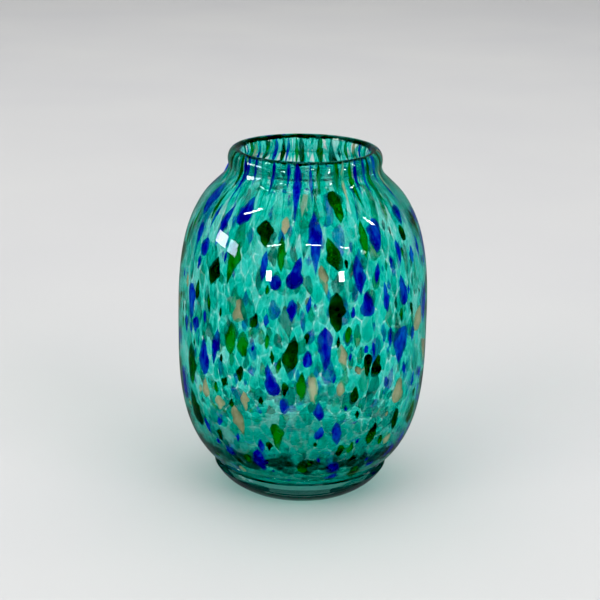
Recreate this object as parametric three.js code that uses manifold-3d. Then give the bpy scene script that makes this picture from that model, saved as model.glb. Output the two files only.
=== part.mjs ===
// Hand blown, cased art glass vase, in millimetres, +Z up, origin at the centre of its base.
//
// The vase is laid up as a glassblower lays it up: a clear inner gather, a skin of fused teal
// frit chips over it with single cobalt, moss and aventurine chips pressed into the skin, a
// clear outer casing over that, a clear lip wrap round the mouth and an applied clear foot.
// The sides of the casing and of the cavity are superellipses about the belly, and each turns up
// into the neck on a curve. The inner layers of glass are offsets of the cavity's outline.
import * as THREE from "three";
import { mergeVertices } from "three/addons/utils/BufferGeometryUtils.js";
import Module from "manifold-3d";

const wasm = await Module();
wasm.setup();

// ---- Driving dimensions ----------------------------------------------------------------

const HEIGHT = 220;
const LIP_RADIUS = 43.4; // centre line of the rolled lip
const LIP_HALF_THICKNESS = 4.7;
const LIP_ROUND_HEIGHT = 7; // height of the rounded top of the lip
const LIP_SEAT = 209; // height of the step in the casing that the lip wrap sits on
const NECK_RADIUS = 47.4; // outside of the wall just under the lip
const WALL_TOP = 216; // the layers of the wall end here, under the lip wrap
const WALL_TOP_RADIUS = 44.4; // outside of the wall inside the lip wrap

const GROOVE_RADIUS = 53.6; // of the groove between the wall and the foot
const FOOT_HEIGHT = 15.6;
const FOOT_TOP_RADIUS = 55.6;
const FOOT_TOP_EDGE = 14; // height at which the foot is widest
const FOOT_SWELL = [50.5, 4.8]; // radius and height that the foot's side bends towards
const FOOT_RING_OUTER = 40; // the flat ring that the vase stands on
const FOOT_RING_INNER = 34.5;
const FOOT_RECESS_RADIUS = 31; // the ground and polished hollow inside the ring
const FOOT_RECESS_DEPTH = 2.4;

const GATHER_THICKNESS = 1.8;
const SKIN_THICKNESS = 1.7;
const LAYER_GAP = 0.1; // between nested layers of glass
const SEAT_GAP = 0.3; // under the lip, over the foot and round each chip
const SEGMENTS = 40;
const LIP_STEPS = 10;
const FOOT_STEPS = 6;

// A barrel's side is a superellipse about its widest place: a power of 2 would be an ellipse, and
// a higher one is squarer. Its half height and its power are given below and above the belly.
const BELLY_HEIGHT = 106;
const CASING = { radius: 79, rise: [100.5, 106.4], power: [3, 3] };
const CAVITY = { radius: 74.3, rise: [82, 101], power: [3.5, 3] };
const SHOULDER_ANGLE = 52.5; // seen from the middle of the belly, where the sides end
const FLOOR_ANGLE = 84; // and where the cavity's side meets its flat floor
const BARREL_STEPS = 15;
const NECK_STEPS = 3;
const CASING_NECK = [48.4, 204]; // radius and height that the casing's neck bends towards
const CAVITY_NECK = [42, 204.2];
const BORE_RADIUS = 39.2; // of the mouth
const BORE_LOWEST = 212.5; // the bore is straight from here up

// The largest chips at the front, each with its colour, its middle's bearing round the vase (0 is
// the front, +Y is behind), its height, its width round the vase, its length up the wall and its
// lean, in degrees and millimetres.
const LARGEST_CHIPS = [
  ["cobalt", 30, 140, 8, 12, 0],
  ["cobalt", 50, 110, 10, 17, 5],
  ["cobalt", -50, 100, 9, 16, 0],
  ["cobalt", -35, 190, 7, 12, 5],
  ["moss", -5, 110, 9, 20, 10],
  ["moss", 15, 135, 8, 16, 0],
  ["moss", -60, 90, 10, 20, 0],
  ["moss", -45, 155, 8, 14, 10],
  ["moss", -20, 180, 8, 13, -10],
  ["moss", 20, 195, 6, 14, 0],
  ["aventurine", -10, 185, 4, 8, 0],
  ["aventurine", -30, 65, 7, 13, -15],
  ["aventurine", 50, 80, 7, 12, 10],
];

// The rest of the chips are strewn over the wall.
const CHIP_COUNTS = { cobalt: 22, moss: 21, aventurine: 11 };
const CHIP_SEED = 4;
const CHIP_HEIGHTS = [50, 198];
const CHIP_WIDTHS = [4, 9];
const CHIP_LENGTH_RATIOS = [1.2, 2.1]; // a chip's length for its width
const CHIP_LEAN = 15; // the most that a chip leans either way
const CHIP_SPACING = 3; // between the ends of two chips

const CHIP_CORNERS = 10;
const CHIP_CLEARANCE = 0.3; // from a chip's faces to the faces of the skin

const COLOURS = {
  clear_glass: 0xdfe8e6,
  teal_glass: 0x0a9a86,
  cobalt_glass: 0x14259c,
  moss_glass: 0x17521a,
  aventurine_glass: 0xa89a72,
};

// ---- Outlines of the layers ------------------------------------------------------------

const degrees = (angle) => (angle * Math.PI) / 180;

// A barrel's side between two angles seen from the middle of the belly, as [radius, height].
function barrel({ radius, rise, power }, from, to) {
  const points = [];
  for (let i = 0; i <= BARREL_STEPS; i++) {
    const angle = degrees(from + ((to - from) * i) / BARREL_STEPS);
    const half = angle < 0 ? 0 : 1;
    const across = Math.cos(angle);
    const up = Math.sin(angle);
    const size = (across ** power[half] + Math.abs(up) ** power[half]) ** (1 / power[half]);
    points.push([(radius * across) / size, BELLY_HEIGHT + (rise[half] * up) / size]);
  }
  return points;
}

// A side with a curve added at its top, that bends towards one point and ends at another.
function withNeck(side, towards, end) {
  const points = [side.at(-1), towards, end].map((point) => new THREE.Vector2(...point));
  const curve = new THREE.QuadraticBezierCurve(...points).getPoints(NECK_STEPS);
  return [...side, ...curve.slice(1).map(({ x, y }) => [x, y])];
}

// Outside of the casing, from the groove over the foot to the lip's seat.
const casingOutline = withNeck(
  barrel(CASING, -SHOULDER_ANGLE, SHOULDER_ANGLE),
  CASING_NECK,
  [NECK_RADIUS, LIP_SEAT],
);

// The cavity, from the middle of its floor to the top of the wall.
const cavitySide = barrel(CAVITY, -FLOOR_ANGLE, SHOULDER_ANGLE);
const cavityOutline = [
  [0, BELLY_HEIGHT - CAVITY.rise[0]],
  ...withNeck(cavitySide, CAVITY_NECK, [BORE_RADIUS, BORE_LOWEST]),
  [BORE_RADIUS, WALL_TOP],
];

// The outline moved away from the cavity by a distance, square to itself. Its first point
// stays on the axis and its last point stays level with the top of the wall.
function offset(outline, distance) {
  const last = outline.length - 1;
  const moved = outline.map(([radius, height], i) => {
    const [r0, z0] = outline[Math.max(i - 1, 0)];
    const [r1, z1] = outline[Math.min(i + 1, last)];
    const length = Math.hypot(r1 - r0, z1 - z0);
    const outward = [(z1 - z0) / length, -(r1 - r0) / length];
    return [radius + distance * outward[0], height + distance * outward[1]];
  });
  moved[0] = [0, outline[0][1] - distance];
  moved[last] = [outline[last][0] + distance, outline[last][1]];
  return moved;
}

const gatherOutside = offset(cavityOutline, GATHER_THICKNESS);
const skinInside = offset(cavityOutline, GATHER_THICKNESS + LAYER_GAP);
const skinOutside = offset(cavityOutline, GATHER_THICKNESS + SKIN_THICKNESS);
const casingInside = offset(cavityOutline, GATHER_THICKNESS + SKIN_THICKNESS + LAYER_GAP);

// ---- Solids ----------------------------------------------------------------------------

// A solid of revolution from a closed outline that runs up its outside and down its inside.
function turned(outline) {
  const profile = outline.map(([radius, height]) => new THREE.Vector2(radius, height));
  const startsOnAxis = outline[0][0] === 0;
  if (!startsOnAxis) {
    profile.push(profile[0].clone());
  }
  const geometry = new THREE.LatheGeometry(profile, SEGMENTS);
  geometry.rotateX(Math.PI / 2);
  geometry.deleteAttribute("uv");
  geometry.deleteAttribute("normal");
  return mergeVertices(geometry);
}

// A cup of glass between an inside and an outside that both start on the axis.
const cup = (inside, outside) => turned([...outside, ...inside.toReversed()]);

function manifoldOf(geometry) {
  return new wasm.Manifold(
    new wasm.Mesh({
      numProp: 3,
      vertProperties: geometry.getAttribute("position").array,
      triVerts: new Uint32Array(geometry.index.array),
    }),
  );
}

function geometryOf(manifold) {
  const mesh = manifold.getMesh();
  const geometry = new THREE.BufferGeometry();
  geometry.setAttribute("position", new THREE.BufferAttribute(mesh.vertProperties, 3));
  geometry.setIndex(new THREE.BufferAttribute(mesh.triVerts, 1));
  return geometry;
}

const innerGather = () => cup(cavityOutline, gatherOutside);

// The casing closes under the cup with a flat bottom that sits on the foot, and is stepped at
// the top for the lip wrap.
function outerCasing() {
  const bottom = FOOT_HEIGHT + SEAT_GAP;
  const step = [
    [WALL_TOP_RADIUS, LIP_SEAT],
    [WALL_TOP_RADIUS, WALL_TOP],
  ];
  const outside = [[0, bottom], [GROOVE_RADIUS, bottom], ...casingOutline, ...step];
  return cup(casingInside, outside);
}

// The lip wrap sits round the step in the casing and rolls over the top of the wall.
function lipWrap() {
  const middle = HEIGHT - LIP_ROUND_HEIGHT;
  const seat = LIP_SEAT + SEAT_GAP;
  const underside = WALL_TOP + SEAT_GAP;
  const bore = WALL_TOP_RADIUS + SEAT_GAP;
  const lastAngle = Math.PI - Math.asin((underside - middle) / LIP_ROUND_HEIGHT);
  const outline = [
    [bore, seat],
    [NECK_RADIUS, seat],
  ];
  for (let i = 0; i <= LIP_STEPS; i++) {
    const angle = (lastAngle * i) / LIP_STEPS;
    const radius = LIP_RADIUS + LIP_HALF_THICKNESS * Math.cos(angle);
    outline.push([radius, middle + LIP_ROUND_HEIGHT * Math.sin(angle)]);
  }
  outline.push([bore, underside]);
  return turned(outline);
}

// The foot swells from its standing ring up to its top edge, and is hollowed under the middle.
function footDisc() {
  const side = new THREE.QuadraticBezierCurve(
    new THREE.Vector2(FOOT_RING_OUTER, 0),
    new THREE.Vector2(...FOOT_SWELL),
    new THREE.Vector2(FOOT_TOP_RADIUS, FOOT_TOP_EDGE),
  );
  return turned([
    [0, FOOT_RECESS_DEPTH],
    [FOOT_RECESS_RADIUS, FOOT_RECESS_DEPTH],
    [FOOT_RING_INNER, 0],
    ...side.getPoints(FOOT_STEPS).map((point) => [point.x, point.y]),
    [GROOVE_RADIUS, FOOT_HEIGHT],
    [0, FOOT_HEIGHT],
  ]);
}

// ---- Chips -----------------------------------------------------------------------------

// The place on an outline at a distance along it, as [radius, height].
function along(outline, lengths, distance) {
  let i = lengths.findIndex((length) => length > distance);
  i = i < 1 ? lengths.length - 1 : i;
  const share = (distance - lengths[i - 1]) / (lengths[i] - lengths[i - 1]);
  const [r0, z0] = outline[i - 1];
  const [r1, z1] = outline[i];
  return [r0 + share * (r1 - r0), z0 + share * (z1 - z0)];
}

const chipLengths = skinInside.reduce((lengths, [radius, height], i) => {
  const [r0, z0] = skinInside[Math.max(i - 1, 0)];
  return [...lengths, (lengths[i - 1] ?? 0) + Math.hypot(radius - r0, height - z0)];
}, []);

// How far up the wall a height is, measured along the skin from the middle of the floor.
function distanceAt(height) {
  const i = skinInside.findIndex(([, z], k) => k > 0 && z > height);
  const z0 = skinInside[i - 1][1];
  const share = (height - z0) / (skinInside[i][1] - z0);
  return chipLengths[i - 1] + share * (chipLengths[i] - chipLengths[i - 1]);
}

// An oval slab that follows the wall, from one layer outline to another. Each side of its
// outline is grown by the given amount.
function slab([bearing, height, width, length, lean], inside, outside, grown) {
  const middle = distanceAt(height);
  const [middleRadius] = along(skinInside, chipLengths, middle);
  const turn = degrees(lean);
  const positions = [];
  const place = (layer, across, up) => {
    const [radius, z] = along(layer, chipLengths, middle + up);
    const angle = degrees(bearing) + across / middleRadius;
    positions.push(radius * Math.sin(angle), -radius * Math.cos(angle), z);
  };
  for (const layer of [inside, outside]) {
    place(layer, 0, 0);
    for (let i = 0; i < CHIP_CORNERS; i++) {
      const angle = (2 * Math.PI * i) / CHIP_CORNERS;
      const across = (width / 2 + grown) * Math.cos(angle);
      const up = (length / 2 + grown) * Math.sin(angle);
      const acrossLeant = across * Math.cos(turn) + up * Math.sin(turn);
      const upLeant = up * Math.cos(turn) - across * Math.sin(turn);
      place(layer, acrossLeant, upLeant);
    }
  }
  const outer = CHIP_CORNERS + 1;
  const index = [];
  for (let i = 0; i < CHIP_CORNERS; i++) {
    const here = 1 + i;
    const next = 1 + ((i + 1) % CHIP_CORNERS);
    index.push(0, next, here);
    index.push(outer, outer + here, outer + next);
    index.push(here, next, outer + next);
    index.push(here, outer + next, outer + here);
  }
  const geometry = new THREE.BufferGeometry();
  geometry.setAttribute("position", new THREE.Float32BufferAttribute(positions, 3));
  geometry.setIndex(index);
  return geometry;
}

const chipInside = offset(cavityOutline, GATHER_THICKNESS + LAYER_GAP + CHIP_CLEARANCE);
const chipOutside = offset(cavityOutline, GATHER_THICKNESS + SKIN_THICKNESS - CHIP_CLEARANCE);
const pocketInside = offset(cavityOutline, 0);
const pocketOutside = offset(cavityOutline, GATHER_THICKNESS + 2 * SKIN_THICKNESS);

const chip = (place) => slab(place, chipInside, chipOutside, 0);
const pocket = (place) => slab(place, pocketInside, pocketOutside, SEAT_GAP);

const { lerp, seededRandom } = THREE.MathUtils;

// A chip at a random place on the wall.
function strewnChip() {
  const width = lerp(...CHIP_WIDTHS, seededRandom());
  return [
    lerp(-180, 180, seededRandom()),
    lerp(...CHIP_HEIGHTS, seededRandom()),
    width,
    width * lerp(...CHIP_LENGTH_RATIOS, seededRandom()),
    lerp(-CHIP_LEAN, CHIP_LEAN, seededRandom()),
  ];
}

function middleOf([bearing, height]) {
  const [radius, z] = along(skinInside, chipLengths, distanceAt(height));
  const angle = degrees(bearing);
  return new THREE.Vector3(radius * Math.sin(angle), -radius * Math.cos(angle), z);
}

// True if two chips keep their spacing, whichever way they lean.
function apart(one, other) {
  const [, , , length] = one;
  const [, , , otherLength] = other;
  const nearest = (length + otherLength) / 2 + CHIP_SPACING;
  return middleOf(one).distanceTo(middleOf(other)) > nearest;
}

const CHIPS = { cobalt: [], moss: [], aventurine: [] };
for (const [colour, ...place] of LARGEST_CHIPS) {
  CHIPS[colour].push(place);
}
seededRandom(CHIP_SEED);
for (const [colour, count] of Object.entries(CHIP_COUNTS)) {
  while (CHIPS[colour].length < count) {
    const place = strewnChip();
    const others = Object.values(CHIPS).flat();
    if (others.every((other) => apart(place, other))) {
      CHIPS[colour].push(place);
    }
  }
}

// The teal skin has a pocket right through it for every chip.
function tealChipSkin() {
  let skin = manifoldOf(cup(skinInside, skinOutside));
  for (const place of Object.values(CHIPS).flat()) {
    skin = skin.subtract(manifoldOf(pocket(place)));
  }
  return geometryOf(skin);
}

// ---- Assembly --------------------------------------------------------------------------

const vase = new THREE.Group();

function add(name, geometry, glass, opacity) {
  const material = new THREE.MeshStandardMaterial({
    color: COLOURS[glass],
    roughness: 0.05,
    metalness: 0,
    transparent: opacity < 1,
    opacity,
  });
  const mesh = new THREE.Mesh(geometry, material);
  mesh.name = name;
  vase.add(mesh);
}

const CLEAR = 0.3;
const DEEP = 0.9;

add("inner_gather", innerGather(), "clear_glass", CLEAR);
add("teal_chip_skin", tealChipSkin(), "teal_glass", DEEP);
add("outer_casing", outerCasing(), "clear_glass", CLEAR);
add("lip_wrap", lipWrap(), "clear_glass", CLEAR);
add("foot_disc", footDisc(), "clear_glass", CLEAR);

for (const [colour, places] of Object.entries(CHIPS)) {
  places.forEach((place, i) => {
    const number = String(i + 1).padStart(2, "0");
    add(`${colour}_chip_${number}`, chip(place), `${colour}_glass`, DEEP);
  });
}

export default vase;
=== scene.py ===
"""Visual model of a hand blown, cased art glass vase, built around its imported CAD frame.

The vase is one lump of clear glass with coloured frit chips floating in its wall. Its pieces
are the ones in the CAD model: inner gather, chips, outer casing, lip wrap and foot. Faces
where a piece meets air are glass that bends light. Faces where two pieces are fused together
are clear, so light crosses them unbent, as it does in the real wall.
"""

import math

import bpy
import numpy as np
from mathutils import Matrix, Vector


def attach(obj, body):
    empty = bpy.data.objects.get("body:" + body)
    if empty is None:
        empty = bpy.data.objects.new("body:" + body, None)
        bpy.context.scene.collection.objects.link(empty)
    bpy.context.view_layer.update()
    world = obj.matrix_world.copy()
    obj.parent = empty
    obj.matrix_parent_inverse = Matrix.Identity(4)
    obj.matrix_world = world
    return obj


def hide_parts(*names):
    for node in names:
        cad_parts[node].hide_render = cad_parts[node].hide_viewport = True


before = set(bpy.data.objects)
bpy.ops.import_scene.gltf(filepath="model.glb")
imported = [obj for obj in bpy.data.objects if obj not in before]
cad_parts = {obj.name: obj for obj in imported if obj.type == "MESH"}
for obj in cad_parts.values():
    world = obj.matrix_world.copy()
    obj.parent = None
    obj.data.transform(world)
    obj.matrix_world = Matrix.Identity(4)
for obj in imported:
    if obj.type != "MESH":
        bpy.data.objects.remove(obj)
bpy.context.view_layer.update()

MM = 0.001
SEED = 11

# ---- Driving values, millimetres unless said otherwise ----------------------------------

SAME = 0.05  # heights and radii closer than this are the same
ON_AXIS = 0.01
RING_SEGMENTS = 160
RING_STEP = 1.6  # between rings of a glass surface
CORNER = math.radians(38)  # a turn in a section sharper than this stays a corner
SHADE_CORNER = math.radians(30)

VEIN = 0.8  # glass between two teal chips
CHIP_CORNERS = 20
CHIP_THICKNESS = 0.8
ACCENT_THICKNESS = 1.2
CHIP_RINGS = (0.45, 0.8, 0.95)  # rings of a chip's domed faces, as shares of its outline
CHIP_DEPTHS = (0.03, 0.97)  # how near a chip's faces come to the gather and to the casing
ROUNDING = 11.0  # higher leaves a chip's corners sharper
VEIL_DEPTH = 0.5  # of the film of finer frit, between the gather at 0 and the casing at 1
VEIL_HALF = 0.03  # half of the film's thickness, in the same share
VEIL_STEPS = 150  # places up the film
LAYER_STEPS = 400  # places up the colour layer where its sides are known
FLOOR_RADIUS = 30.0  # inside this, distances on the vase's floor are reckoned straight

# The colour layer goes on above the wall, rolled into the lip: how far out and up its inner and
# its outer side go from the top of the wall.
ROLLED_IN = ((0.2, 1.7), (1.0, 2.7), (2.2, 3.2))
ROLLED_OUT = ((0.1, 1.0), (0.5, 1.6), (1.2, 1.9))

AIR, FUSED = 0, 1  # what a face of clear glass meets
CLEAR = (0.985, 1.0, 0.995, 1)
SMOKE = (0.05, 0.45, 0.40)  # the colour that thick clear glass takes on
SMOKE_DENSITY = 15.0

VEIL_DEEP = (0.0, 0.34, 0.26)
VEIL_AQUA = (0.30, 0.80, 0.74)
VEIL_PALE = (0.80, 0.99, 0.97)
VEIL_CELLS = 170.0  # cells of finer frit to a metre
VEIL_STRETCH = (1.0, 1.0, 0.45)
VEIL_WANDER, VEIL_WANDER_SCALE = (0.003, 0.003, 0.003), 150.0  # of the cells' edges
VEIL_LINE_FADE = 7.0  # higher keeps the milky lines between the cells narrower
VEIL_CLEAR = (0.94, 1.0, 0.99, 1)
VEIL_OPEN = 0.96  # the share of light that crosses the film straight
VEIL_MILKY = 0.09  # how much less crosses it at the lines between its cells

# ---- Sections of the CAD solids ----------------------------------------------------------


def section(node):
    """The outline of a turned CAD node in the +X half plane, as a list of (radius, height)
    points in order, starting from its lowest point on the axis, or its lowest outer point."""
    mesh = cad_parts[node].data
    co = np.array([v.co for v in mesh.vertices]) / MM
    keys = [tuple(np.round(p, 2)) for p in co]
    flat = [abs(y) < ON_AXIS and x > -ON_AXIS for x, y, z in keys]
    links = {}
    for edge in mesh.edges:
        a, b = edge.vertices
        if flat[a] and flat[b] and keys[a] != keys[b]:
            links.setdefault(keys[a], set()).add(keys[b])
            links.setdefault(keys[b], set()).add(keys[a])
    start = min(links, key=lambda k: (k[0] > ON_AXIS, k[2], -k[0]))
    path = [start]
    while True:
        ahead = [k for k in links[path[-1]] if k not in path]
        if not ahead:
            break
        here = Vector(path[-1])
        outward = [k for k in ahead if len(path) == 1 and k[0] > path[0][0]]
        nearest = min(outward or ahead, key=lambda k: (Vector(k) - here).length)
        path.append(nearest)
    return [(x, z) for x, _, z in path]


def turn_at(points, i):
    """The angle that an outline turns through at its point i."""
    before = Vector(points[i]) - Vector(points[i - 1])
    after = Vector(points[i + 1]) - Vector(points[i])
    return before.angle(after, 0.0)


def runs(points):
    """An outline cut into smooth runs at its sharp corners."""
    cuts = [0]
    cuts += [i for i in range(1, len(points) - 1) if turn_at(points, i) > CORNER]
    cuts.append(len(points) - 1)
    return [points[a : b + 1] for a, b in zip(cuts, cuts[1:])]


def spline(points, step):
    """Points about a step apart on a centripetal Catmull-Rom curve through the given ones."""
    p = np.array(points, float)
    if len(p) == 2:
        n = max(1, int(np.linalg.norm(p[1] - p[0]) / step))
        return p[0] + (p[1] - p[0]) * np.linspace(0, 1, n + 1)[:, None]
    p = np.vstack([2 * p[0] - p[1], p, 2 * p[-1] - p[-2]])
    made = [p[1]]
    for i in range(1, len(p) - 2):
        knots = [0.0]
        for k in range(3):
            gap = np.linalg.norm(p[i + k] - p[i + k - 1])
            knots.append(knots[-1] + math.sqrt(max(gap, 1e-6)))
        t0, t1, t2, t3 = knots
        n = max(1, int(math.ceil(np.linalg.norm(p[i + 1] - p[i]) / step)))
        for t in np.linspace(t1, t2, n + 1)[1:]:
            a1 = (t1 - t) / (t1 - t0) * p[i - 1] + (t - t0) / (t1 - t0) * p[i]
            a2 = (t2 - t) / (t2 - t1) * p[i] + (t - t1) / (t2 - t1) * p[i + 1]
            a3 = (t3 - t) / (t3 - t2) * p[i + 1] + (t - t2) / (t3 - t2) * p[i + 2]
            b1 = (t2 - t) / (t2 - t0) * a1 + (t - t0) / (t2 - t0) * a2
            b2 = (t3 - t) / (t3 - t1) * a2 + (t - t1) / (t3 - t1) * a3
            made.append((t2 - t) / (t2 - t1) * b1 + (t - t1) / (t2 - t1) * b2)
    return np.array(made)


# ---- Materials ---------------------------------------------------------------------------


class Nodes:
    """A short way to write a material's nodes."""

    def __init__(self, name):
        self.material = bpy.data.materials.new(name)
        self.material.use_nodes = True
        self.tree = self.material.node_tree
        self.tree.nodes.clear()
        self.out = self.tree.nodes.new("ShaderNodeOutputMaterial")

    def add(self, kind, **inputs):
        node = self.tree.nodes.new("ShaderNode" + kind)
        for key, value in inputs.items():
            socket = node.inputs[key.replace("_", " ")]
            if isinstance(value, bpy.types.NodeSocket):
                self.tree.links.new(value, socket)
            else:
                socket.default_value = value
        return node

    def link(self, a, b):
        self.tree.links.new(a, b)

    def math(self, operation, a, b=0.0, clamp=False):
        node = self.tree.nodes.new("ShaderNodeMath")
        node.operation = operation
        node.use_clamp = clamp
        for socket, value in zip(node.inputs, (a, b)):
            if isinstance(value, bpy.types.NodeSocket):
                self.link(value, socket)
            else:
                socket.default_value = value
        return node.outputs[0]

    def mix(self, share, a, b):
        """A Mix Shader with the given share of shader b."""
        node = self.tree.nodes.new("ShaderNodeMixShader")
        if isinstance(share, bpy.types.NodeSocket):
            self.link(share, node.inputs[0])
        else:
            node.inputs[0].default_value = share
        self.link(a, node.inputs[1])
        self.link(b, node.inputs[2])
        return node.outputs[0]

    def ramp(self, share, *stops):
        node = self.tree.nodes.new("ShaderNodeValToRGB")
        ramp = node.color_ramp
        while len(ramp.elements) < len(stops):
            ramp.elements.new(0.5)
        for element, (place, colour) in zip(ramp.elements, stops):
            element.position = place
            element.color = (*colour, 1)
        self.link(share, node.inputs[0])
        return node.outputs[0]

    def lamps_see(self, shader, open_shader):
        """A shader, swapped for another one where lamps and matt surfaces look through it."""
        path = self.add("LightPath").outputs
        inner = self.mix(path["Is Diffuse Ray"], shader, open_shader)
        return self.mix(path["Is Shadow Ray"], inner, open_shader)

    def blend(self, share, a, colour):
        """Colour socket a, mixed with a plain colour by a share socket."""
        node = self.tree.nodes.new("ShaderNodeMix")
        node.data_type = "RGBA"
        self.link(share, node.inputs[0])
        self.link(a, node.inputs[6])
        node.inputs[7].default_value = (*colour, 1)
        return node.outputs[2]

    def finish(self, shader):
        self.link(shader, self.out.inputs["Surface"])
        return self.material


# Scales of noise and of cells are by the metre.
SWELL_SCALE = 38.0  # of the waviness of a hand blown surface
SWELL_DEPTH = 0.0006
GLASS_IOR = 1.5


def clear_glass(name, wave, smokiness=1.0):
    """Fire polished glass with a faint hand blown waviness, a little smoky and green where it
    is thick. Light from lamps and from matt surfaces crosses it unbent."""
    m = Nodes(name)
    place = m.add("TexCoord").outputs["Object"]
    swell = m.add("TexNoise", Vector=place, Scale=SWELL_SCALE, Detail=1.0, Roughness=0.4)
    bump = m.add("Bump", Strength=wave, Distance=SWELL_DEPTH, Height=swell.outputs["Fac"])
    glass = m.add(
        "BsdfPrincipled",
        Base_Color=CLEAR,
        Roughness=0.0,
        IOR=GLASS_IOR,
        Transmission_Weight=1.0,
        Normal=bump.outputs[0],
    ).outputs[0]
    through = m.add("BsdfTransparent", Color=CLEAR).outputs[0]
    density = SMOKE_DENSITY * smokiness
    smoke = m.add("VolumeAbsorption", Color=(*SMOKE, 1), Density=density)
    m.link(smoke.outputs[0], m.out.inputs["Volume"])
    inside = m.add("Attribute")
    inside.attribute_name = "fused"
    nothing = m.add("BsdfTransparent").outputs[0]
    return m.finish(m.mix(inside.outputs["Fac"], m.lamps_see(glass, through), nothing))


STREAK_SCALE, STREAK_STRETCH = 330.0, (1.0, 1.0, 0.4)  # streaks are drawn out upwards
SPECK_PATCH_SCALE = 170.0
MELT_SCALE, MELT_FROM, MELT_SLOPE = 120.0, 0.3, 2.6  # where a chip's edge has melted thin
MOST_RIM = 0.5  # the share of the rim's colour at the thinnest edge
MOST_OPEN = 0.95  # the share of light that crosses the thinnest edge straight
CHIP_BACKLIT, VEIL_BACKLIT = 0.55, 0.6  # the share of its light that comes from behind


def chip_glass(
    name, stops, see, streak, rim=None, gradient=0.0, speck=None, open_share=0.6, hardness=2.0
):
    """Coloured glass of a frit chip, lit from behind as much as from the front.

    stops: its colours from dark to light. see: the share of light that passes straight through.
    streak: how far drawn-out streaks shift the colour. rim: the colour that it thins out to at
    its edge. gradient: how much lighter it gets along its length. speck: colour, spacing and
    amount of metal flecks or grains. open_share: the share of lamplight that crosses it.
    hardness: higher keeps the thinning to a narrower margin."""
    m = Nodes(name)
    chip = m.add("Attribute")
    chip.attribute_name = "chip"
    parts = m.add("SeparateColor", Color=chip.outputs["Color"])
    tone, lengthwise, edge = parts.outputs
    place = m.add("TexCoord").outputs["Object"]
    stretch = m.add("Mapping", Vector=place)
    stretch.inputs["Scale"].default_value = STREAK_STRETCH
    streaks = m.add(
        "TexNoise", Vector=stretch.outputs[0], Scale=STREAK_SCALE, Detail=3.0, Roughness=0.6
    ).outputs["Fac"]
    level = m.math("MULTIPLY", m.math("SUBTRACT", streaks, 0.5), streak)
    level = m.math("ADD", level, m.math("MULTIPLY", tone, 1.0 - gradient))
    level = m.math("ADD", level, m.math("MULTIPLY", lengthwise, gradient), clamp=True)
    colour = m.ramp(level, *stops)
    if speck:
        grains = m.add("TexVoronoi", Vector=place, Scale=speck["scale"]).outputs["Distance"]
        patch = m.add("TexNoise", Vector=place, Scale=SPECK_PATCH_SCALE, Detail=1.0)
        mask = m.math(
            "MULTIPLY",
            m.math("LESS_THAN", grains, speck["size"]),
            m.math("GREATER_THAN", patch.outputs["Fac"], speck["cover"]),
        )
        colour = m.blend(mask, colour, speck["colour"])
    thin = m.math("POWER", edge, hardness)
    melt = m.add("TexNoise", Vector=place, Scale=MELT_SCALE, Detail=1.0).outputs["Fac"]
    melt = m.math("MULTIPLY", m.math("SUBTRACT", melt, MELT_FROM), MELT_SLOPE, clamp=True)
    thin = m.math("MULTIPLY", thin, melt)
    if rim:
        colour = m.blend(m.math("MULTIPLY", thin, MOST_RIM), colour, rim)
    back = m.add("BsdfPrincipled", Base_Color=colour, Roughness=0.4, Specular_IOR_Level=0.0)
    forward = m.add("BsdfTranslucent", Color=colour)
    body = m.mix(CHIP_BACKLIT, back.outputs[0], forward.outputs[0])
    # Light crosses a chip's front face and its back face, so each takes half of the colour.
    half = m.add("Gamma", Color=colour, Gamma=0.5).outputs[0]
    through = m.add("BsdfTransparent", Color=half).outputs[0]
    share = m.math("ADD", m.math("MULTIPLY", thin, MOST_OPEN - see), see, clamp=True)
    seen = m.mix(share, body, through)
    return m.finish(m.lamps_see(seen, m.mix(open_share, body, through)))


def veil_glass():
    """The film of finer frit among the chips: small teal cells with milky glass between."""
    m = Nodes("veil_glass")
    place = m.add("TexCoord").outputs["Object"]
    stretch = m.add("Mapping", Vector=place)
    stretch.inputs["Scale"].default_value = VEIL_STRETCH
    wander = m.add("TexNoise", Vector=place, Scale=VEIL_WANDER_SCALE, Detail=2.0)
    shift = m.tree.nodes.new("ShaderNodeVectorMath")
    shift.operation = "MULTIPLY_ADD"
    m.link(wander.outputs["Color"], shift.inputs[0])
    shift.inputs[1].default_value = VEIL_WANDER
    m.link(stretch.outputs[0], shift.inputs[2])
    cells = m.add("TexVoronoi", Vector=shift.outputs[0], Scale=VEIL_CELLS)
    edges = m.add("TexVoronoi", Vector=shift.outputs[0], Scale=VEIL_CELLS)
    edges.feature = "DISTANCE_TO_EDGE"
    tone = m.add("SeparateColor", Color=cells.outputs["Color"]).outputs[0]
    colour = m.ramp(tone, (0.0, VEIL_DEEP), (0.6, VEIL_AQUA), (1.0, VEIL_PALE))
    fade = m.math("MULTIPLY", edges.outputs[0], VEIL_LINE_FADE)
    line = m.math("SUBTRACT", 1.0, fade, clamp=True)
    colour = m.blend(m.math("MULTIPLY", line, 0.8), colour, VEIL_PALE)
    back = m.add("BsdfPrincipled", Base_Color=colour, Roughness=0.5, Specular_IOR_Level=0.0)
    forward = m.add("BsdfTranslucent", Color=colour)
    body = m.mix(VEIL_BACKLIT, back.outputs[0], forward.outputs[0])
    through = m.add("BsdfTransparent", Color=VEIL_CLEAR).outputs[0]
    share = m.math("SUBTRACT", VEIL_OPEN, m.math("MULTIPLY", line, VEIL_MILKY))
    return m.finish(m.lamps_see(m.mix(share, body, through), through))


# ---- Turned glass ------------------------------------------------------------------------


def new_object(name, verts, faces, materials):
    mesh = bpy.data.meshes.new(name)
    mesh.from_pydata([tuple(v) for v in np.asarray(verts) * MM], [], faces)
    for material in materials:
        mesh.materials.append(material)
    mesh.polygons.foreach_set("use_smooth", [True] * len(mesh.polygons))
    piece = bpy.data.objects.new(name, mesh)
    bpy.context.scene.collection.objects.link(piece)
    return piece


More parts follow.
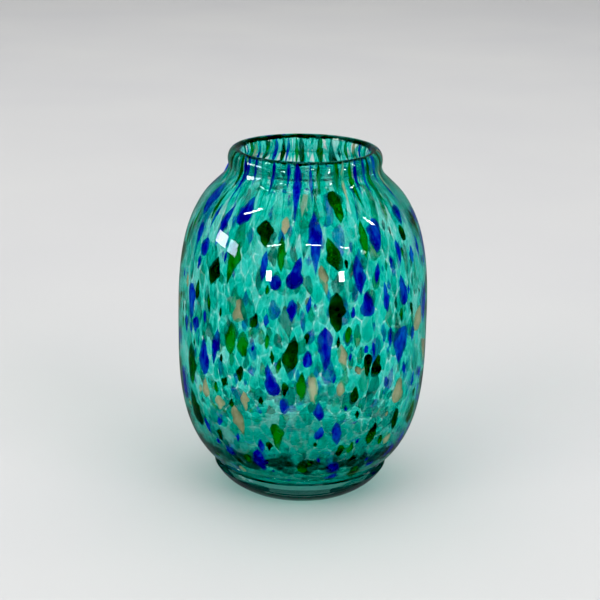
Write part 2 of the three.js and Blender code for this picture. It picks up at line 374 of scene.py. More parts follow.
def turned(name, outline, material):
    """A solid of revolution. outline: a list of (points, kind), run after run, that starts and
    ends on the axis or closes on itself. kind: AIR or FUSED, what the run's faces meet."""
    profile, kinds = [], []
    for points, kind in outline:
        kinds += [kind] * (len(points) - 1)
        profile += list(points)[1:] if profile else list(points)
    closed = math.dist(profile[0], profile[-1]) < ON_AXIS < profile[0][0]
    if closed:
        profile = profile[:-1]
    verts, rings = [], []
    for r, z in profile:
        if r < ON_AXIS:
            rings.append([len(verts)] * RING_SEGMENTS)
            verts.append((0, 0, z))
            continue
        rings.append(list(range(len(verts), len(verts) + RING_SEGMENTS)))
        for k in range(RING_SEGMENTS):
            a = 2 * math.pi * k / RING_SEGMENTS
            verts.append((r * math.cos(a), r * math.sin(a), z))
    if closed:
        rings.append(rings[0])
    faces, face_kinds = [], []
    for i, kind in enumerate(kinds[: len(rings) - 1]):
        low, high = rings[i], rings[i + 1]
        for k in range(RING_SEGMENTS):
            n = (k + 1) % RING_SEGMENTS
            loop = [low[k], low[n], high[n], high[k]]
            faces.append([v for j, v in enumerate(loop) if v != loop[j - 1]])
            face_kinds.append(kind)
    piece = new_object(name, verts, faces, [material])
    piece.data.set_sharp_from_angle(angle=SHADE_CORNER)
    if FUSED in face_kinds:
        inside = piece.data.attributes.new("fused", "FLOAT", "FACE")
        inside.data.foreach_set("value", np.array(face_kinds, np.float32))
    return piece


def smooth_runs(points, is_air):
    """Each smooth run of a section, resampled, with its kind: AIR where is_air(run) is true."""
    made = []
    for run in runs(points):
        made.append((spline(run, RING_STEP), AIR if is_air(run) else FUSED))
    return made


def level_run(run):
    return abs(run[0][1] - run[-1][1]) < SAME


casing_section = section("outer_casing")
gather_section = section("inner_gather")
lip_section = section("lip_wrap")
foot_section = section("foot_disc")

WALL_TOP = max(z for _, z in casing_section)
LIP_SEAT = min(z for _, z in lip_section)
CASING_BOTTOM = min(z for _, z in casing_section)


def moved(points, change):
    return [change(r, z) for r, z in points]


def build_casing(material):
    """Outside is air from the foot up to the lip's seat. The rest is fused."""
    step_radius = max(r for r, z in casing_section if z > WALL_TOP - SAME)

    def is_air(run):
        upward = run[-1][1] > run[0][1] + SAME
        return upward and max(r for r, _ in run) > step_radius + 3

    return turned("casing_glass", smooth_runs(casing_section, is_air), material)


def build_gather(material):
    """Its inside is the cavity. The start of the section, outside, is fused."""

    def is_air(run):
        return run[-1][1] < run[0][1] - SAME

    return turned("gather_glass", smooth_runs(gather_section, is_air), material)


def build_lip(material):
    """Sits down on the casing's step and over the top of the wall, with no gap."""
    seat = min(z for _, z in casing_section if z > LIP_SEAT - 1)
    bore = max(r for r, z in casing_section if z > WALL_TOP - SAME)
    lip_bore = min(r for r, z in lip_section if z < LIP_SEAT + SAME)
    under = min(z for r, z in lip_section if r < lip_bore - 1)

    def close_up(r, z):
        if abs(r - lip_bore) < SAME:
            r = bore
        if abs(z - LIP_SEAT) < SAME:
            z = seat
        if abs(z - under) < SAME:
            z = WALL_TOP
        return r, z

    points = moved(lip_section, close_up)
    points = points + [points[0]]

    def is_air(run):
        return max(z for _, z in run) > WALL_TOP + 1

    return turned("lip_glass", smooth_runs(points, is_air), material)


def build_foot(material):
    """Its top is fused to the bottom of the casing."""
    top = max(z for _, z in foot_section)
    points = moved(foot_section, lambda r, z: (r, CASING_BOTTOM if z > top - SAME else z))

    def is_air(run):
        return not (level_run(run) and run[0][1] > CASING_BOTTOM - SAME)

    outline = [(np.maximum(run, 0.0), kind) for run, kind in smooth_runs(points, is_air)]
    return turned("foot_glass", outline, material)


def build_veil(material):
    """A thin film in the middle of the colour layer, that shows between the chips."""
    share = np.linspace(0, 1, VEIL_STEPS)
    sheet = []
    for depth in (VEIL_DEPTH - VEIL_HALF, VEIL_DEPTH + VEIL_HALF):
        middle = (1 - depth) * layer.inner + depth * layer.outer
        sheet.append(np.stack([np.interp(share, SHARES, c) for c in middle.T], 1))
    low, high = sheet
    low[0, 0] = high[0, 0] = 0.0
    outline = [(high, AIR), ([high[-1], low[-1]], AIR), (low[::-1], AIR)]
    return turned("frit_veil", outline, material)


# ---- The colour layer --------------------------------------------------------------------


class Layer:
    """The skin of colour between the gather and the casing. A place in it is a bearing in
    radians (0 at the front), a distance up the wall from the middle of the floor, and a depth
    from 0 at the gather to 1 at the casing."""

    def __init__(self):
        inside = self.up_from_axis(gather_section, outer=True)
        outside = self.up_from_axis(casing_section, outer=False)
        self.inner = self.resampled(self.rolled(inside, ROLLED_IN))
        self.outer = self.resampled(self.rolled(outside, ROLLED_OUT))
        self.middle = (self.inner + self.outer) / 2
        steps = np.linalg.norm(np.diff(self.middle, axis=0), axis=1)
        self.up = np.concatenate([[0], np.cumsum(steps)])
        self.length = float(self.up[-1])

    @staticmethod
    def up_from_axis(points, outer):
        """The side of a cup's section that faces the colour layer, from the axis upwards."""
        top = max(z for _, z in points)
        at_top = [i for i, (_, z) in enumerate(points) if z > top - SAME]
        if outer:
            return points[: at_top[0] + 1]
        return points[at_top[-1] :][::-1]

    @staticmethod
    def resampled(points):
        """LAYER_STEPS points, evenly shared out along a smooth curve through the given ones."""
        curve = spline(points, 1.0)
        at = np.linspace(0, 1, len(curve))
        share = np.linspace(0, 1, LAYER_STEPS)
        return np.stack([np.interp(share, at, c) for c in curve.T], 1)

    @staticmethod
    def rolled(points, steps):
        """A side of the layer, carried on from its top by steps out and up."""
        radius, height = points[-1]
        return points + [(radius + out, height + up) for out, up in steps]

    def radius(self, up):
        return np.interp(up, self.up, self.middle[:, 0])

    def height(self, up):
        return np.interp(up, self.up, self.middle[:, 1])

    def place(self, bearing, up, depth):
        """Points in space for arrays of bearings, distances up the wall and depths."""
        r = (1 - depth) * np.interp(up, self.up, self.inner[:, 0])
        r = r + depth * np.interp(up, self.up, self.outer[:, 0])
        z = (1 - depth) * np.interp(up, self.up, self.inner[:, 1])
        z = z + depth * np.interp(up, self.up, self.outer[:, 1])
        return np.stack([r * np.sin(bearing), -r * np.cos(bearing), z], -1)

    def thickness(self):
        """How thick the layer is half way up."""
        half_way = LAYER_STEPS // 2
        return float(np.linalg.norm(self.outer[half_way] - self.inner[half_way]))


layer = Layer()
SHARES = np.linspace(0, 1, len(layer.inner))
AREA_SHARE = np.concatenate(
    [[0], np.cumsum(np.diff(layer.up) * (layer.middle[1:, 0] + layer.middle[:-1, 0]) / 2)]
)
AREA_SHARE = AREA_SHARE / AREA_SHARE[-1]


class Chip:
    """One chip: its middle's place, the distances from there to its outline at CHIP_CORNERS
    even angles, its tone, and how deep in the layer it lies."""

    def __init__(self, bearing, up, reach, tone, depth, lean=0.0):
        self.bearing, self.up, self.reach = bearing, up, reach
        self.tone, self.depth, self.lean = tone, depth, lean
        self.way = 1  # -1 turns the chip's shading end for end


ANGLES = np.linspace(0, 2 * math.pi, CHIP_CORNERS, endpoint=False)


def surface_place(bearing, up, across, along):
    """Where a point lands that is across and along the wall, in mm, from a place on it. On the
    floor, near the axis, the way is reckoned straight, and higher up round the vase."""
    r0 = float(layer.radius(up))
    if r0 > FLOOR_RADIUS:
        ups = np.clip(up + along, 0, layer.length)
        return bearing + across / layer.radius(ups), ups
    x = across * math.cos(bearing) + (r0 + along) * math.sin(bearing)
    y = across * math.sin(bearing) - (r0 + along) * math.cos(bearing)
    return np.arctan2(x, -y), np.hypot(x, y)


def chips_object(name, chips, thickness, material):
    """One object of many chips, each a closed, domed slab in the colour layer. The colour
    attribute holds a chip's tone, how far along it a point is, and how near its edge."""
    verts, faces, colours = [], [], []
    room = layer.thickness()

    def ring(chip, share, depth):
        """Adds a ring of points at a share of the way out to the chip's outline."""
        reach = chip.reach * share if share else np.zeros(1)
        angle = ANGLES if share else np.zeros(1)
        u, v = reach * np.cos(angle), reach * np.sin(angle)
        c, s = math.cos(chip.lean), math.sin(chip.lean)
        across, along = u * c + v * s, v * c - u * s
        bearing, up = surface_place(chip.bearing, chip.up, across, along)
        verts.extend(layer.place(bearing, up, depth))
        longest = max(chip.reach)
        colours.extend((chip.tone, 0.5 + 0.5 * chip.way * y / longest, share) for y in v)

    for chip in chips:
        starts = []
        for side in (-1, 1):
            starts.append(len(verts))
            for share in (0.0, *CHIP_RINGS):
                bulge = math.sqrt(max(0.0, 1 - share**4)) * thickness / 2 / room
                ring(chip, share, float(np.clip(chip.depth + side * bulge, *CHIP_DEPTHS)))
        rim = len(verts)
        ring(chip, 1.0, chip.depth)
        n = CHIP_CORNERS
        for start, flip in zip(starts, (True, False)):
            loops = [start + 1 + n * k for k in range(len(CHIP_RINGS))] + [rim]
            for k in range(n):
                j = (k + 1) % n
                fan = [start, loops[0] + k, loops[0] + j]
                faces.append(fan[::-1] if flip else fan)
                for a, b in zip(loops, loops[1:]):
                    quad = [a + k, b + k, b + j, a + j]
                    faces.append(quad[::-1] if flip else quad)
    piece = new_object(name, verts, faces, [material])
    attribute = piece.data.color_attributes.new("chip", "FLOAT_COLOR", "POINT")
    flat = np.ones((len(colours), 4), np.float32)
    flat[:, :3] = colours
    attribute.data.foreach_set("color", flat.ravel())
    return piece


# ---- Accent chips, from the CAD chips ----------------------------------------------------


def cad_chip(node):
    """The place, half width, half length and lean of a CAD chip."""
    co = np.array([v.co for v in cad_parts[node].data.vertices]) / MM
    co = np.unique(np.round(co, 3), axis=0)
    middle = co.mean(0)
    bearing = math.atan2(middle[0], -middle[1])
    across = np.arctan2(co[:, 0], -co[:, 1]) - bearing
    across = (across + math.pi) % (2 * math.pi) - math.pi
    up = np.interp(co[:, 2], layer.middle[:, 1], layer.up)
    up0 = float(np.interp(middle[2], layer.middle[:, 1], layer.up))
    local = np.stack([across * np.hypot(middle[0], middle[1]), up - up0], 1)
    _, axes = np.linalg.eigh(np.cov(local.T))
    long_way = axes[:, 1] * (1 if axes[1, 1] > 0 else -1)
    lean = math.atan2(long_way[0], long_way[1])
    reach = np.abs(local @ np.stack([axes[:, 0], long_way], 1)).max(0)
    return bearing, up0, float(reach[0]), float(reach[1]), lean


# The ranges that an accent chip's look is drawn from.
WIDER, LONGER = (1.05, 1.3), (1.25, 1.75)  # beside the half width and half length it is given
SQUARENESS = (1.15, 2.1)  # 1 is a diamond and 2 an oval
TAPER = (-0.5, 0.5)
WANDER = (0, 0.11)  # of the edge, as shares of the chip's reach
ACCENT_DEPTH = (0.48, 0.62)
ACCENT_TONE = (0.3, 0.95)


def accent(rng, bearing, up, half_width, half_length, lean):
    """A softened lump of glass: an oval, drawn to a blunt point at one end or both, with a
    wandering edge."""
    c, s = np.cos(ANGLES), np.sin(ANGLES)
    half_width *= rng.uniform(*WIDER)
    half_length *= rng.uniform(*LONGER)
    power = rng.uniform(*SQUARENESS)
    oval = (np.abs(c / half_width) ** power + np.abs(s / half_length) ** power) ** (-1 / power)
    taper = 1 + rng.uniform(*TAPER) * s * np.abs(c)
    wander = sum(
        rng.uniform(*WANDER) * np.cos(k * ANGLES + rng.uniform(0, 2 * math.pi))
        for k in (2, 3, 4, 5)
    )
    reach = oval * taper * (1 + wander)
    depth = rng.uniform(*ACCENT_DEPTH)
    chip = Chip(bearing, up, reach, rng.uniform(*ACCENT_TONE), depth, lean)
    chip.way = rng.choice((1, 1, -1))
    chip.half_width, chip.half_length = half_width, half_length
    return chip


ACCENT_COLOURS = ("cobalt", "moss", "aventurine")
# How many chips of each colour are strewn at random beside the CAD model's own.
STREWN_SMALL = {"cobalt": 105, "moss": 95, "aventurine": 24}
STREWN_LARGE = {"cobalt": 64, "moss": 80, "aventurine": 16}
STRIPES = {"cobalt": 15, "moss": 17, "aventurine": 4}
RIM_CHIPS = 64
SMALL_WIDTH = (0.8, 2.3)
LARGE_WIDTH = (1.9, 4.0)
STREWN_STRETCH = (0.75, 1.5)  # a strewn chip's length, beside what the drawn-out wall gives it
LOWEST_STREWN = 0.05  # none is strewn on this share of the layer's area, amid the floor

# How much longer than wide a chip is, at shares of the way up the wall: round on the floor, and
# drawn out into streaks where the neck was pulled.
STRETCH = ((0, 0.15, 0.3, 0.6, 0.78, 0.9, 1), (1.0, 1.0, 1.35, 1.9, 2.8, 8.0, 12.0))


def stretch_at(up):
    return float(np.interp(up / layer.length, *STRETCH))


# How light the teal chips are, by height: a band of painted shade goes round the heel of the
# vase, made of darker chips with narrower veins.
HEEL_SHADE_LIGHTNESS = ((22, 29, 31, 38, 41), (0.9, 0.9, 0.0, 0.0, 1.0))
HEEL_SHADE_DEPTH = 0.22  # how far below tone 0 the darkest chips of the painted shade band go


STREWN_GAP = 0.3


def clear_of(chip, others, gap):
    """True if a chip's oval keeps a gap to the ovals of the others."""
    for other in others:
        across = (chip.bearing - other.bearing + math.pi) % (2 * math.pi) - math.pi
        across *= float(layer.radius((chip.up + other.up) / 2))
        along = chip.up - other.up
        wide = chip.half_width + other.half_width + gap
        tall = chip.half_length + other.half_length + gap
        if (across / wide) ** 2 + (along / tall) ** 2 < 1:
            return False
    return True


def accent_chips(rng):
    """Every accent chip by colour: the CAD model's own, then others strewn between them."""
    chips = {}
    placed = []
    for colour in ACCENT_COLOURS:
        nodes = sorted(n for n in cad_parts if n.startswith(colour))
        chips[colour] = [accent(rng, *cad_chip(n)) for n in nodes]
        placed += chips[colour]
    # Rim chips at the lip: chips of the colour layer, whose dark tone is painted shade on the
    # crown.
    chips["moss"] += [rim_shade_chip(rng, 2 * math.pi * k / RIM_CHIPS) for k in range(RIM_CHIPS)]
    for colour, count in STRIPES.items():
        made = 0
        while made < count:
            chip = stripe(rng)
            if clear_of(chip, placed, 0.0):
                chips[colour].append(chip)
                placed.append(chip)
                made += 1
    for counts, widths in ((STREWN_LARGE, LARGE_WIDTH), (STREWN_SMALL, SMALL_WIDTH)):
        for colour in ACCENT_COLOURS:
            made = 0
            while made < counts[colour]:
                chip = strewn(rng, widths)
                if clear_of(chip, placed, STREWN_GAP):
                    chips[colour].append(chip)
                    placed.append(chip)
                    made += 1
    return chips, placed


RIM_DROP = (0.9, 1.3)  # from the layer's end down to the middle of a rim chip
RIM_HALF_WIDTH, RIM_HALF_LENGTH = (2.6, 3.6), (0.8, 1.1)
# The rim chips' dark tones are painted shade on the crown of the lip.
RIM_SHADE_TONE = (0.0, 0.3)

STRIPE_HALF_WIDTH, STRIPE_HALF_LENGTH = (0.8, 1.7), (7.0, 15.0)
STRIPE_DROP = (0.55, 1.1)  # the same for a stripe, as a share of its half length
STRIPE_LEAN, STREWN_LEAN = 0.03, 0.3  # radians, a strewn chip's before the wall is drawn out


def rim_shade_chip(rng, bearing):
    """One of the moss chips that crowd together where the colour layer ends in the lip. Their
    dark tone is painted shade that darkens the crown of the lip.
    """
    up = layer.length - rng.uniform(*RIM_DROP)
    half_width = rng.uniform(*RIM_HALF_WIDTH)
    half_length = rng.uniform(*RIM_HALF_LENGTH)
    chip = accent(rng, bearing, up, half_width, half_length, 0.0)
    chip.tone = rng.uniform(*RIM_SHADE_TONE)
    return chip


def stripe(rng):
    """A chip drawn out into a stripe that runs up the inside of the neck to the lip."""
    half_width = rng.uniform(*STRIPE_HALF_WIDTH)
    half_length = rng.uniform(*STRIPE_HALF_LENGTH)
    up = layer.length - half_length * rng.uniform(*STRIPE_DROP)
    bearing = rng.uniform(-math.pi, math.pi)
    return accent(rng, bearing, up, half_width, half_length, rng.normal(0, STRIPE_LEAN))


def strewn(rng, widths):
    """A chip at a random place on the wall."""
    up = float(np.interp(rng.uniform(LOWEST_STREWN, 1), AREA_SHARE, layer.up))
    half_width = rng.uniform(*widths)
    long = stretch_at(up) * rng.uniform(*STREWN_STRETCH)
    half_length = half_width * long
    up = min(up, layer.length - 0.6 * half_length)
    bearing = rng.uniform(-math.pi, math.pi)
    lean = rng.normal(0, STREWN_LEAN) / long
    return accent(rng, bearing, up, half_width, half_length, lean)


# ---- Teal mosaic -------------------------------------------------------------------------

# Width of a teal chip at shares of the way up the wall.
TEAL_WIDTH = ((0, 0.15, 0.3, 0.6, 0.8, 0.9, 1), (7.0, 6.0, 5.8, 6.2, 5.6, 3.0, 2.5))
VEIN_RANGE = (0.6, 1.7)  # of a chip's veins, beside VEIN
TEAL_GROWTH = 1.04  # a chip's reach before its vein is taken off, beside the room it has
TEAL_DEPTH = (0.4, 0.6)
TEAL_TONE, TEAL_TONE_SPREAD = 0.6, 0.18
LEAN_SPREAD = 0.06
PALE_SHARE, PALE_TONE = 0.07, 1.3  # some chips are nearly clear
CROWDING = 0.86  # how near two chips' middles may come, as a share of their widths
MOST_MISSES = 260  # tries in a row without room for a chip before the wall counts as full
LEAST_REACH = 0.25  # from a chip's middle to its edge
MOST_REACH = 1.3  # the same, as a share of the chip's width, where no neighbour is near


def flow(bearing, up):
    """The lean of the chips, in radians: they drift to and fro round the vase, and stand
    upright at the neck."""
    share = up / layer.length
    drift = 0.20 * math.sin(2 * bearing + 0.6) + 0.15 * math.sin(5 * bearing + up / 21)
    return drift * (1 - share**4)


def teal_width(up):
    return float(np.interp(up / layer.length, *TEAL_WIDTH))


def space_points(bearing, up):
    r, z = layer.radius(up), layer.height(up)
    return np.stack([r * np.sin(bearing), -r * np.cos(bearing), z], -1)


def strew_seeds(rng, placed):
    """Middles for the teal chips, spread at random but no nearer than their sizes allow, and
    kept out of the accent chips."""
    bearings, ups, sizes = [], [], []
    at = np.zeros((0, 3))
    scale = np.zeros((0, 2))
    misses = 0
    while misses < MOST_MISSES:
        up = float(np.interp(rng.uniform(0, 1), AREA_SHARE, layer.up))
        bearing = rng.uniform(-math.pi, math.pi)
        size = float(np.clip(rng.normal(1.0, 0.22), 0.6, 1.6))
        width = teal_width(up) * size * CROWDING
        tall = width * stretch_at(up)
        point = space_points(bearing, up)
        if len(at):
            gap = at - point
            along = gap @ wall_tangent(bearing, up)
            across = np.sqrt(np.maximum((gap**2).sum(1) - along**2, 0))
            wide = (scale[:, 0] + width) / 2
            high = (scale[:, 1] + tall) / 2
            if ((across / wide) ** 2 + (along / high) ** 2).min() < 1:
                misses += 1
                continue
        if inside_accent(bearing, up, placed):
            continue
        misses = 0
        bearings.append(bearing)
        ups.append(up)
        sizes.append(size)
        at = np.vstack([at, point])
        scale = np.vstack([scale, (width, tall)])
    return np.array(bearings), np.array(ups), np.array(sizes)


def wall_tangent(bearing, up):
    """The direction up the wall at a place on it."""
    low, high = max(up - 0.5, 0), min(up + 0.5, layer.length)
    dr = float(layer.radius(high) - layer.radius(low))
    dz = float(layer.height(high) - layer.height(low))
    way = np.array([dr * math.sin(bearing), -dr * math.cos(bearing), dz])
    return way / np.linalg.norm(way)


def inside_accent(bearing, up, placed):
    for chip in placed:
        across, along = leant_offset(chip, bearing, up)
        if (across / chip.half_width) ** 2 + (along / chip.half_length) ** 2 < 1.1:
            return True
    return False


def leant_offset(chip, bearing, up):
    """A place's way across and along a chip, in the chip's own leant directions."""
    across = (bearing - chip.bearing + math.pi) % (2 * math.pi) - math.pi
    across *= float(layer.radius((up + chip.up) / 2))
    along = up - chip.up
    c, s = math.cos(chip.lean), math.sin(chip.lean)
    return across * c - along * s, along * c + across * s


def room_for(i, lean, at, bearings, ups, sizes):
    """How far chip i can reach at each of ANGLES: it fills the room that its neighbours leave,
    with rounded corners."""
    bearing, up, size = bearings[i], ups[i], sizes[i]
    long = stretch_at(up)
    width = teal_width(up)
    side = np.array([math.cos(bearing), math.sin(bearing), 0.0])
    gap = at - at[i]
    across, along = gap @ side, gap @ wall_tangent(bearing, up)
    c, s = math.cos(lean), math.sin(lean)
    local = np.stack([across * c - along * s, along * c + across * s], 1)
    off_wall = np.linalg.norm(gap, axis=1)
    scaled = local / (1, long)
    distance = np.linalg.norm(scaled, axis=1)
    near = (distance < width * 3.2) & (off_wall < width * long * 4) & (distance > 0)
    near &= np.abs(off_wall - np.linalg.norm(local, axis=1)) < width
    unit = scaled[near] / distance[near, None]
    limit = distance[near] * (size / (size + sizes[near]))
    directions = np.stack([np.cos(ANGLES), np.sin(ANGLES)], 1)
    closeness = directions @ unit.T / limit
    closeness = np.hstack([closeness, np.full((CHIP_CORNERS, 1), 1 / (width * MOST_REACH))])
    packed = (np.maximum(closeness, 0) ** ROUNDING).sum(1) ** (-1 / ROUNDING)
    u, v = (directions * packed[:, None] * (1, long)).T
    angle = np.arctan2(v, u)
    order = np.argsort(angle)
    ring = np.hypot(u, v)
    return np.interp(ANGLES, angle[order] % (2 * math.pi), ring[order], period=2 * math.pi)


def teal_chips(rng, placed):
    """The mosaic: chips that fill the wall between them, with a vein of clear glass round
    each."""
    bearings, ups, sizes = strew_seeds(rng, placed)
    at = space_points(bearings, ups)
    chips = []
    for i, (bearing, up) in enumerate(zip(bearings, ups)):
        lean = flow(bearing, up) + rng.normal(0, LEAN_SPREAD)
        reach = room_for(i, lean, at, bearings, ups, sizes)
        # Painted shade: round the heel the chips get a darker tone and narrower veins.
        unshaded = float(np.interp(layer.height(up), *HEEL_SHADE_LIGHTNESS))
        vein = VEIN * rng.uniform(*VEIN_RANGE) * unshaded
        reach = np.maximum(reach * TEAL_GROWTH - vein / 2, LEAST_REACH)
        depth = rng.uniform(*TEAL_DEPTH)
        tone = float(np.clip(rng.normal(TEAL_TONE, TEAL_TONE_SPREAD), 0, 1))
        tone = PALE_TONE if rng.uniform() < PALE_SHARE else tone
        tone = tone * unshaded - HEEL_SHADE_DEPTH * (1 - unshaded)
        chips.append(Chip(bearing, up, reach, tone, depth, lean))
    return chips


# ---- Build -------------------------------------------------------------------------------

casing_glass = clear_glass("casing_glass", 0.05)
gather_glass = clear_glass("gather_glass", 0.04)
lip_glass = clear_glass("lip_glass", 0.1)
foot_glass = clear_glass("foot_glass", 0.06, smokiness=1.8)

TEAL = (
    (0.0, (0.01, 0.13, 0.11)),
    (0.4, (0.06, 0.73, 0.62)),
    (0.7, (0.14, 0.91, 0.83)),
    (0.85, (0.26, 0.95, 0.89)),
    (1.0, (0.62, 1.0, 0.97)),
)
TEAL_RIM = (0.55, 1.0, 0.96)
COBALT = (
    (0.0, (0.003, 0.010, 0.28)),
    (0.55, (0.008, 0.035, 0.72)),
    (1.0, (0.04, 0.28, 0.95)),
)
COBALT_RIM = (0.02, 0.30, 0.75)
MOSS = (
    (0.0, (0.002, 0.016, 0.006)),
    (0.45, (0.004, 0.06, 0.008)),
    (0.8, (0.006, 0.22, 0.012)),
    (1.0, (0.03, 0.42, 0.05)),
)
MOSS_RIM = (0.0, 0.36, 0.16)
SAND = ((0.0, (0.34, 0.28, 0.17)), (0.5, (0.56, 0.47, 0.30)), (1.0, (0.74, 0.65, 0.45)))

teal = chip_glass(
    "teal_glass", TEAL, 0.89, 1.2, rim=TEAL_RIM, gradient=0.3, open_share=0.9, hardness=4.0
)
cobalt = chip_glass("cobalt_glass", COBALT, 0.6, 1.5, rim=COBALT_RIM, gradient=0.4)
moss = chip_glass(
    "moss_glass",
    MOSS,
    0.5,
    1.6,
    rim=MOSS_RIM,
    gradient=-0.6,
    speck={"scale": 1500.0, "size": 0.28, "cover": 0.56, "colour": (0.22, 0.32, 0.05)},
)
aventurine = chip_glass(
    "aventurine_glass",
    SAND,
    0.04,
    0.6,
    speck={"scale": 1700.0, "size": 0.26, "cover": 0.4, "colour": (0.95, 0.85, 0.6)},
)
veil = veil_glass()

casing = build_casing(casing_glass)
gather = build_gather(gather_glass)
lip = build_lip(lip_glass)
film = build_veil(veil)
foot = build_foot(foot_glass)

rng = np.random.default_rng(SEED)
accents, placed = accent_chips(rng)
mosaic = teal_chips(rng, placed)

# The mosaic goes into four bands, so that each is a piece of a workable size.
BANDS = {"floor": (0, 0.2), "belly": (0.2, 0.5), "shoulder": (0.5, 0.8), "neck": (0.8, 1.01)}
teal_pieces = []
for band, (low, high) in BANDS.items():
    chips = [c for c in mosaic if low <= c.up / layer.length < high]
    piece = chips_object(f"teal_chips_{band}", chips, CHIP_THICKNESS, teal)
    teal_pieces.append(piece)

accent_pieces = {}
for colour, glass in zip(ACCENT_COLOURS, (cobalt, moss, aventurine)):
    piece = chips_object(f"{colour}_chips", accents[colour], ACCENT_THICKNESS, glass)
    accent_pieces[colour] = piece

for piece, node, slot in (
    (casing, "outer_casing", "clear_glass"),
    (gather, "inner_gather", "clear_glass"),
    (lip, "lip_wrap", "clear_glass"),
    (foot, "foot_disc", "clear_glass"),
):
    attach(piece, "root")
    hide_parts(node)

for piece in (*teal_pieces, film):
    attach(piece, "root")
    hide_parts("teal_chip_skin")

for colour, piece in accent_pieces.items():
    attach(piece, "root")
    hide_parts(*sorted(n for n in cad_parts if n.startswith(colour)))

# ---- Stage, light and camera -------------------------------------------------------------


def backdrop():
    """A pale table that sweeps up into a wall well behind the vase."""
    m = Nodes("backdrop")
    place = m.add("TexCoord").outputs["Object"]
    mottle = m.add("TexNoise", Vector=place, Scale=3.0, Detail=2.0).outputs["Fac"]
    colour = m.ramp(mottle, (0.3, (0.55, 0.55, 0.555)), (0.7, (0.575, 0.575, 0.57)))
    shader = m.add("BsdfPrincipled", Base_Color=colour, Roughness=0.8, Specular_IOR_Level=0.1)
    material = m.finish(shader.outputs[0])
    table = new_object("table", *sweep(), [material])
    table.visible_glossy = False
    surround = turned("surround", [(bowl(), AIR)], material)
    surround.visible_glossy = False
    surround.visible_transmission = False


TABLE_HALF, TABLE_NEAR, TABLE_FAR = 1200.0, -450.0, 4200.0
BEND, WALL_HEIGHT = 900.0, 3500.0
ROOM_RADIUS = 5200.0  # of the round room's flat floor


def wall_profile(start):
    """A floor's profile from where it starts to bend, up to the top of its wall."""
    quarter = [math.pi / 2 * k / 24 for k in range(25)]
    arc = [(start + BEND * math.sin(a), BEND * (1 - math.cos(a))) for a in quarter]
    return arc + [(start + BEND, WALL_HEIGHT)]


def sweep():
    """A table top that curves up into a wall at its far end."""
    profile = [(TABLE_NEAR, 0.0), (0.0, 0.0)] + wall_profile(TABLE_FAR - BEND)
    verts = [(x, y, z) for y, z in profile for x in (-TABLE_HALF, TABLE_HALF)]
    faces = [(2 * i, 2 * i + 1, 2 * i + 3, 2 * i + 2) for i in range(len(profile) - 1)]
    return verts, faces


def bowl():
    """The profile of a round room, just below the table top."""
    return [(r, z - 2.0) for r, z in [(0.0, 0.0)] + wall_profile(ROOM_RADIUS)]


WORLD_STRENGTH = 0.15  # the dim room that the edges of the glass mirror


def world_light(strength):
    world = bpy.data.worlds.new("studio")
    bpy.context.scene.world = world
    world.use_nodes = True
    background = world.node_tree.nodes["Background"]
    background.inputs["Color"].default_value = (0.93, 0.96, 1.0, 1)
    background.inputs["Strength"].default_value = strength


def lamp(name, place, aim, size, radiance, colour=(1, 1, 1), glint=False):
    """A rectangular lamp at a place, in metres, that faces another. A glint is only seen mirrored
    in the glass, and adds no light of its own."""
    data = bpy.data.lights.new(name, "AREA")
    data.shape = "RECTANGLE"
    data.size, data.size_y = size
    data.color = colour
    data.energy = radiance * math.pi * size[0] * size[1]
    item = bpy.data.objects.new(name, data)
    bpy.context.scene.collection.objects.link(item)
    item.location = place
    way = Vector(aim) - Vector(place)
    item.rotation_euler = way.to_track_quat("-Z", "Y").to_euler()
    item.visible_camera = False
    if glint:
        item.visible_diffuse = False
        item.visible_transmission = False
    return item


# Lamps are in metres, as Blender is.
SHOULDER = (0.0, 0.0, 0.18)  # where the lamps aim
LAMP_DISTANCE = 2.0
TILT = math.radians(4.4)  # of the two small lamps over the shoulder
CEILING = 1.78
TUBE_WIDTH, TUBE_GAP = 0.022, 0.07  # a fitting has two tubes side by side
# The fittings along the ceiling: the middle of each, and its length.
TUBES = (
    (-1.42, -0.25, 0.85),
    (2.33, -0.3, 1.0),
    (-1.7, -2.9, 0.9),
    (0.5, -2.9, 0.8),
    (2.5, -2.9, 0.8),
    (5.0, -2.9, 0.9),
)
WINDOW_HEIGHT, WINDOW_TALL = 0.68, 0.30
TUBE_WHITE, DAY_WHITE, DAY_BLUE = (1.0, 0.98, 0.9), (0.95, 0.98, 1.0), (0.62, 0.76, 1.0)


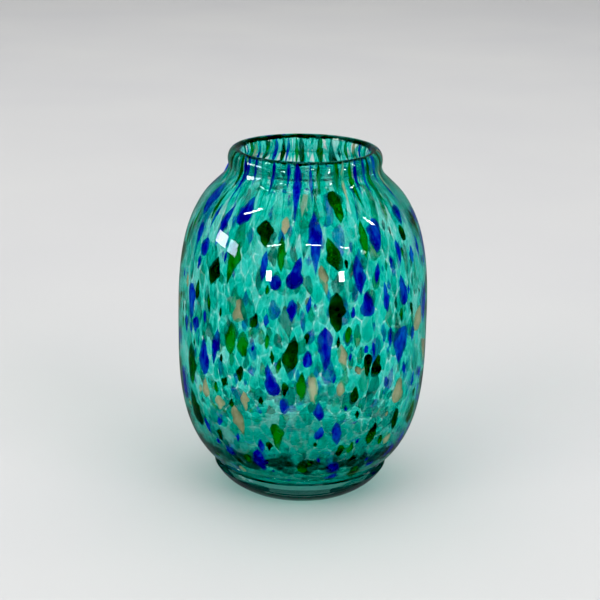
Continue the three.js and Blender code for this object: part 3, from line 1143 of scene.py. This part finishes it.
def studio():
    """A soft sky of light overhead, and what the glass mirrors: a window on the left, two small
    lamps either side of the camera and rows of tube lights along the ceiling."""
    sky = lamp("overhead", (0, 0.8, 2.6), (0, 0.8, 0), (5.0, 5.0), 1.7)
    sky.visible_glossy = False
    for side in (-1, 1):
        fill = lamp(f"fill_{side}", (side * 1.6, -1.6, 1.2), SHOULDER, (1.6, 1.6), 3.9)
        fill.visible_glossy = False
        fill.visible_transmission = False
    for name, y, width, colour in (
        ("window_near", -0.08, 0.50, DAY_WHITE),
        ("window_far", -0.66, 0.40, DAY_BLUE),
    ):
        place = (-LAMP_DISTANCE, y, WINDOW_HEIGHT)
        aim = (0.0, y, WINDOW_HEIGHT)
        lamp(name, place, aim, (width, WINDOW_TALL), 16.0, colour, glint=True)
    for side, bearing in (("left", -31.0), ("right", 34.5)):
        a = math.radians(bearing)
        height = 0.16 + LAMP_DISTANCE * math.tan(TILT)
        place = (LAMP_DISTANCE * math.sin(a), -LAMP_DISTANCE * math.cos(a), height)
        lamp(f"lamp_{side}", place, SHOULDER, (0.17, 0.17), 60.0, glint=True)
    for i, (x, row, length) in enumerate(TUBES):
        for side in (-1, 1):
            y = row + side * TUBE_GAP / 2
            name = f"tube_{i}_{'ab'[side > 0]}"
            size = (length, TUBE_WIDTH)
            lamp(name, (x, y, CEILING), (x, y, 0), size, 110.0, TUBE_WHITE, glint=True)


SENSOR, CAMERA_LENS = 36.0, 96.0
CAMERA_PLACE = (-1.74, -973.8, 419.7)
CAMERA_DOWN, CAMERA_ROLL = 17.05, 1.0  # degrees


def camera():
    """Looks at the vase's front from a little above, and leans a little to one side."""
    cam = bpy.data.objects.new("camera", bpy.data.cameras.new("camera"))
    bpy.context.scene.collection.objects.link(cam)
    cam.data.sensor_width = SENSOR
    cam.data.lens = CAMERA_LENS
    down, roll = math.radians(CAMERA_DOWN), math.radians(CAMERA_ROLL)
    turn = Matrix.Rotation(math.pi / 2 - down, 4, "X") @ Matrix.Rotation(roll, 4, "Z")
    cam.matrix_world = Matrix.Translation(Vector(CAMERA_PLACE) * MM) @ turn
    cam.data.clip_end = 100.0
    bpy.context.scene.camera = cam


backdrop()
world_light(WORLD_STRENGTH)
studio()
camera()

scene = bpy.context.scene
scene.view_settings.view_transform = "Standard"
scene.view_settings.use_curve_mapping = True
scene.view_settings.curve_mapping.black_level = (0.02, 0.02, 0.02)
scene.cycles.max_bounces = 40
scene.cycles.transmission_bounces = 32
scene.cycles.transparent_max_bounces = 96
scene.cycles.diffuse_bounces = 6
scene.cycles.glossy_bounces = 16
